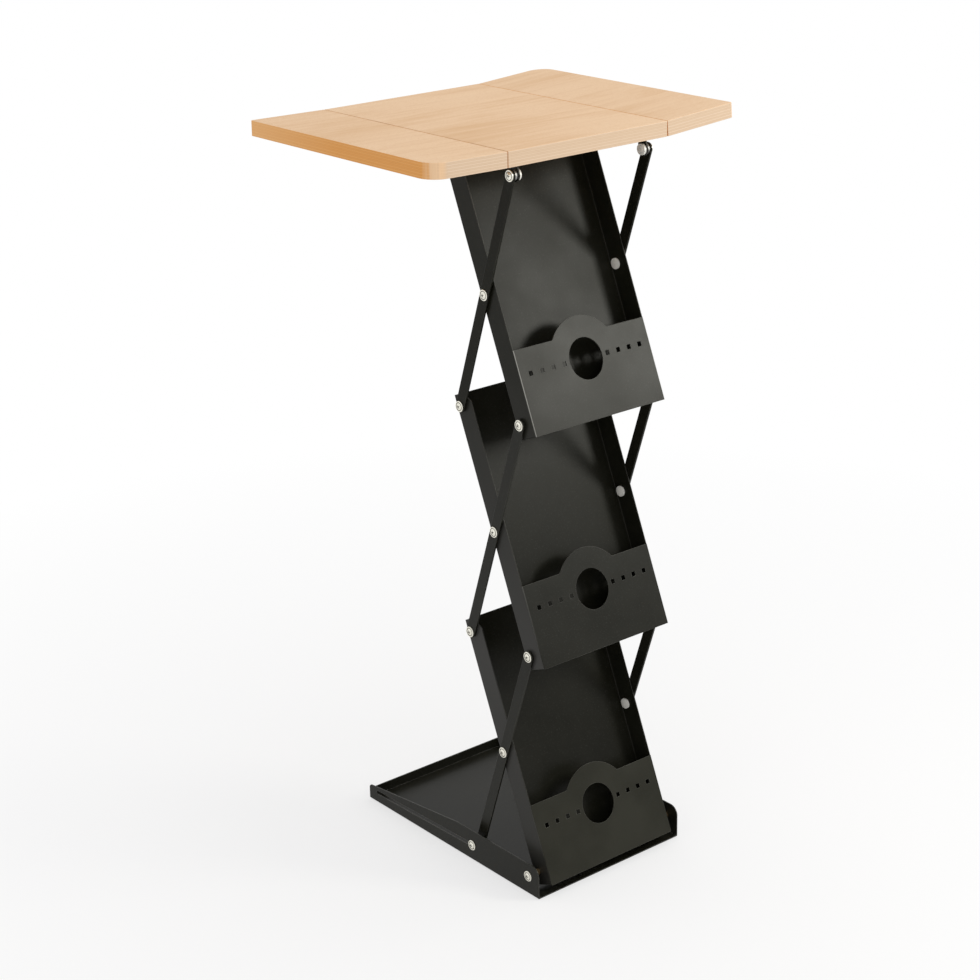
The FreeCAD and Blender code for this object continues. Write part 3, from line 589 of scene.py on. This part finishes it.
def dress_counter():
    dress(plywood("beech_plywood_centre", CENTRE_OFFSET), "counter_centre")
    dress(plywood("beech_plywood_left", LEFT_OFFSET, LEFT_SIDE, LEFT_LEAF_RISE), "counter_left_leaf")
    dress(plywood("beech_plywood_right", RIGHT_OFFSET, RIGHT_SIDE, RIGHT_LEAF_RISE), "counter_right_leaf")


# Camera, floor and light


def place_camera():
    yaw, pitch, roll = CAMERA_YAW, CAMERA_PITCH, CAMERA_ROLL
    forward = Vector((math.sin(yaw) * math.cos(pitch), math.cos(yaw) * math.cos(pitch), -math.sin(pitch)))
    level_right = Vector((math.cos(yaw), -math.sin(yaw), 0.0))
    level_up = level_right.cross(forward)
    right = math.cos(roll) * level_right + math.sin(roll) * level_up
    up = -math.sin(roll) * level_right + math.cos(roll) * level_up
    data = bpy.data.cameras.new("camera")
    data.sensor_width = SENSOR
    data.sensor_fit = "HORIZONTAL"
    data.lens = SENSOR * FOCAL_PIXELS / IMAGE_SIDE
    camera = bpy.data.objects.new("camera", data)
    turn = Matrix((right, up, -forward)).transposed().to_4x4()
    camera.matrix_world = Matrix.Translation(CAMERA_PLACE) @ turn
    bpy.context.scene.collection.objects.link(camera)
    bpy.context.scene.camera = camera


def soft_box(name, place, target, side, power, colour=PLAIN_LIGHT):
    data = bpy.data.lights.new(name, "AREA")
    data.shape = "SQUARE"
    data.size = side
    data.energy = power
    data.color = colour
    lamp = bpy.data.objects.new(name, data)
    lamp.rotation_euler = (target - place).to_track_quat("-Z", "Y").to_euler()
    lamp.location = place
    bpy.context.scene.collection.objects.link(lamp)


def seen_directly(tree):
    """1 for the rays that show the background itself, 0 for the rays that light the object."""
    path = node(tree, "ShaderNodeLightPath")
    shown = calc(tree, "ADD", path.outputs["Is Camera Ray"], path.outputs["Is Glossy Ray"])
    return calc(tree, "ADD", shown, path.outputs["Is Transmission Ray"], clamp=True)


def white_world():
    world = bpy.data.worlds.new("white_studio")
    bpy.context.scene.world = world
    world.use_nodes = True
    tree = world.node_tree
    tree.nodes.clear()
    strength = ramp(tree, seen_directly(tree), 0.0, 1.0, AMBIENT, 1.0)
    sky = node(tree, "ShaderNodeBackground", {"Color": WHITE, "Strength": strength})
    node(tree, "ShaderNodeOutputWorld", {"Surface": sky.outputs[0]})


def floor_material():
    """A pale floor that keeps the shadow near the object and turns white further off."""
    material = bpy.data.materials.new("pale_floor")
    material.use_nodes = True
    tree = material.node_tree
    tree.nodes.clear()
    place = node(tree, "ShaderNodeTexCoord").outputs["Object"]
    reach = node(tree, "ShaderNodeVectorMath", {0: place}, operation="LENGTH").outputs["Value"]
    far = ramp(tree, reach, FLOOR_FADE_NEAR, FLOOR_FADE_FAR, FLOOR_WHITE_SHARE, 1.0)
    share = product(tree, far, seen_directly(tree))
    matt = node(tree, "ShaderNodeBsdfDiffuse", {"Color": FLOOR_COLOUR})
    white = node(tree, "ShaderNodeEmission", {"Color": WHITE, "Strength": 1.0})
    mixed = node(tree, "ShaderNodeMixShader", {0: share, 1: matt.outputs[0], 2: white.outputs[0]})
    node(tree, "ShaderNodeOutputMaterial", {"Surface": mixed.outputs[0]})
    return material


def lay_floor():
    half = FLOOR_SIDE / 2
    mesh = bpy.data.meshes.new("floor")
    corners = [(-half, -half, 0.0), (half, -half, 0.0), (half, half, 0.0), (-half, half, 0.0)]
    mesh.from_pydata(corners, [], [(0, 1, 2, 3)])
    mesh.materials.append(floor_material())
    floor = bpy.data.objects.new("floor", mesh)
    bpy.context.scene.collection.objects.link(floor)


bpy.context.scene.view_settings.view_transform = "Standard"
dress_slots()
dress_metals()
dress_trays()
dress_counter()
place_camera()
lay_floor()
white_world()
soft_box("key_soft_box", KEY_PLACE, KEY_TARGET, KEY_SIDE, KEY_POWER, KEY_COLOUR)
soft_box("top_soft_box", TOP_PLACE, TOP_TARGET, TOP_SIDE, TOP_POWER)
